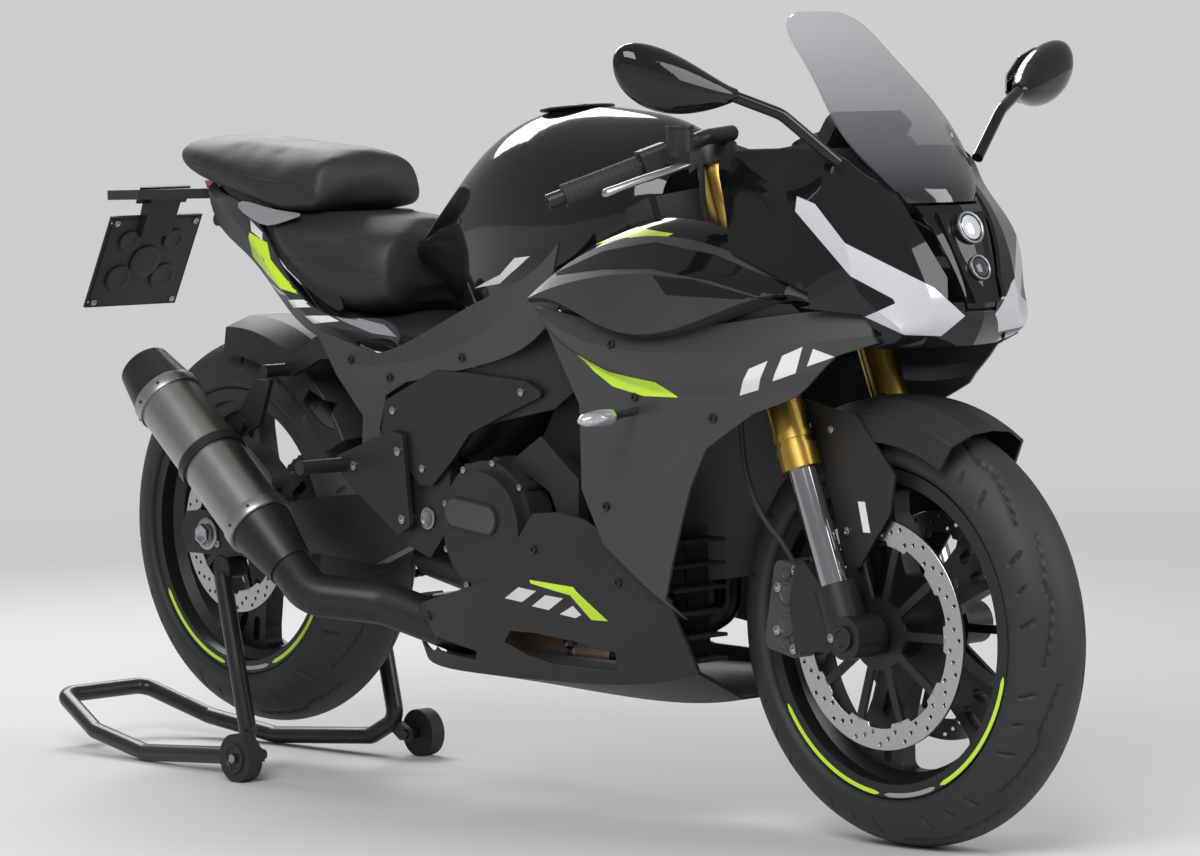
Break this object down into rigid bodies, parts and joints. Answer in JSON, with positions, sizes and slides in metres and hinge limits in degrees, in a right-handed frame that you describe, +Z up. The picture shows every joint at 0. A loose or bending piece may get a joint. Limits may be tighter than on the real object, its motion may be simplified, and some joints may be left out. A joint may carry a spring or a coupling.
{
  "type": "faired sport motorcycle on a rear paddock stand",
  "caption": "Two-wheeled faired sport motorcycle with steering fork, spinning wheels, folding side stand and a tubular paddock stand under its swingarm.",
  "frame": {"origin": "on the floor, under the middle of the overall length and width", "axes": "+X forwards in the direction of travel, +Y to the rider's left, +Z up"},
  "size_m": [2.22, 0.88, 1.155],
  "materials": {
    "tyre_rubber": "matt rubber",
    "black_metal": "satin black",
    "steel": "ground steel",
    "gold": "gold anodised",
    "chrome": "hard chrome",
    "rubber": "ribbed rubber",
    "cast_alloy": "dark cast alloy",
    "black_plastic": "matt black",
    "gloss_black": "gloss black",
    "graphite": "satin graphite paint",
    "tank_black": "gloss black paint",
    "seat_vinyl": "fine grained vinyl",
    "smoke_glass": "smoked clear",
    "lamp_white": "white diffuser",
    "lamp_glass": "clear lens",
    "lamp_red": "red lens",
    "mirror_silver": "mirror",
    "titanium": "brushed",
    "chain_steel": "oiled steel",
    "stand_black": "powder coat"
  },
  "bodies": {
    "bike": {"belly_pan": "black_plastic", "chain": "chain_steel", "dash": "black_plastic", "duct_louvres": "black_plastic", "engine_block": "cast_alloy", "engine_covers": "cast_alloy", "exhaust_pipe": "titanium", "fairing_pods": "graphite", "fairing_stay": "black_metal", "footrests": "cast_alloy", "frame": "cast_alloy", "frame_covers": "black_plastic", "front_sprocket": "steel", "fuel_tank": "tank_black", "headlamp": "lamp_glass", "hugger": "black_plastic", "indicators": "lamp_glass", "mirror_glass": "mirror_silver", "mirrors": "gloss_black", "muffler": "titanium", "muffler_caps": "black_metal", "nose_cowl": "gloss_black", "nose_mask": "gloss_black", "paddock_stand": "stand_black", "passenger_pegs": "cast_alloy", "passenger_seat": "seat_vinyl", "plate_holder": "black_metal", "radiator": "cast_alloy", "rear_caliper": "cast_alloy", "rider_seat": "seat_vinyl", "running_lamps": "lamp_white", "shock": "cast_alloy", "side_fairings": "graphite", "side_panels": "graphite", "subframe": "black_metal", "swingarm": "black_metal", "tail_cowl": "graphite", "tail_lamp": "lamp_red", "windscreen": "smoke_glass"},
    "steering": {"triple_clamps": "black_metal", "fork_outers": "gold", "fork_sliders": "chrome", "fork_feet": "black_metal", "handlebars": "black_metal", "grips": "rubber", "controls": "black_plastic", "levers": "cast_alloy", "front_fender": "black_plastic", "front_calipers": "cast_alloy", "brake_hose": "rubber"},
    "front_wheel": {"front_rim": "black_metal", "front_tyre": "tyre_rubber", "front_discs": "steel"},
    "rear_wheel": {"rear_rim": "black_metal", "rear_tyre": "tyre_rubber", "rear_disc": "steel", "rear_sprocket": "steel"},
    "side_stand": {"side_stand": "black_metal"},
    "stand_wheel_left": {"stand_wheel_left": "rubber"},
    "stand_wheel_right": {"stand_wheel_right": "rubber"}
  },
  "joints": [
    {"name": "steering", "type": "hinge", "parent": "bike", "child": "steering", "pos_m": [0.76403, 0, 0.28879], "axis": [-0.3502, 0, 0.9367], "range_deg": [-27, 27]},
    {"name": "front_wheel_spin", "type": "hinge", "parent": "steering", "child": "front_wheel", "pos_m": [0.81, 0, 0.3], "axis": [0, 1, 0], "continuous": true},
    {"name": "rear_wheel_spin", "type": "hinge", "parent": "bike", "child": "rear_wheel", "pos_m": [-0.61, 0, 0.38], "axis": [0, 1, 0], "continuous": true},
    {"name": "side_stand_swing", "type": "hinge", "parent": "bike", "child": "side_stand", "pos_m": [-0.15, 0.127, 0.3], "axis": [0, -1, 0], "range_deg": [0, 95]},
    {"name": "stand_wheel_left_spin", "type": "hinge", "parent": "bike", "child": "stand_wheel_left", "pos_m": [-0.476, 0.186, 0.038], "axis": [0, 1, 0], "continuous": true},
    {"name": "stand_wheel_right_spin", "type": "hinge", "parent": "bike", "child": "stand_wheel_right", "pos_m": [-0.476, -0.186, 0.038], "axis": [0, 1, 0], "continuous": true}
  ]
}
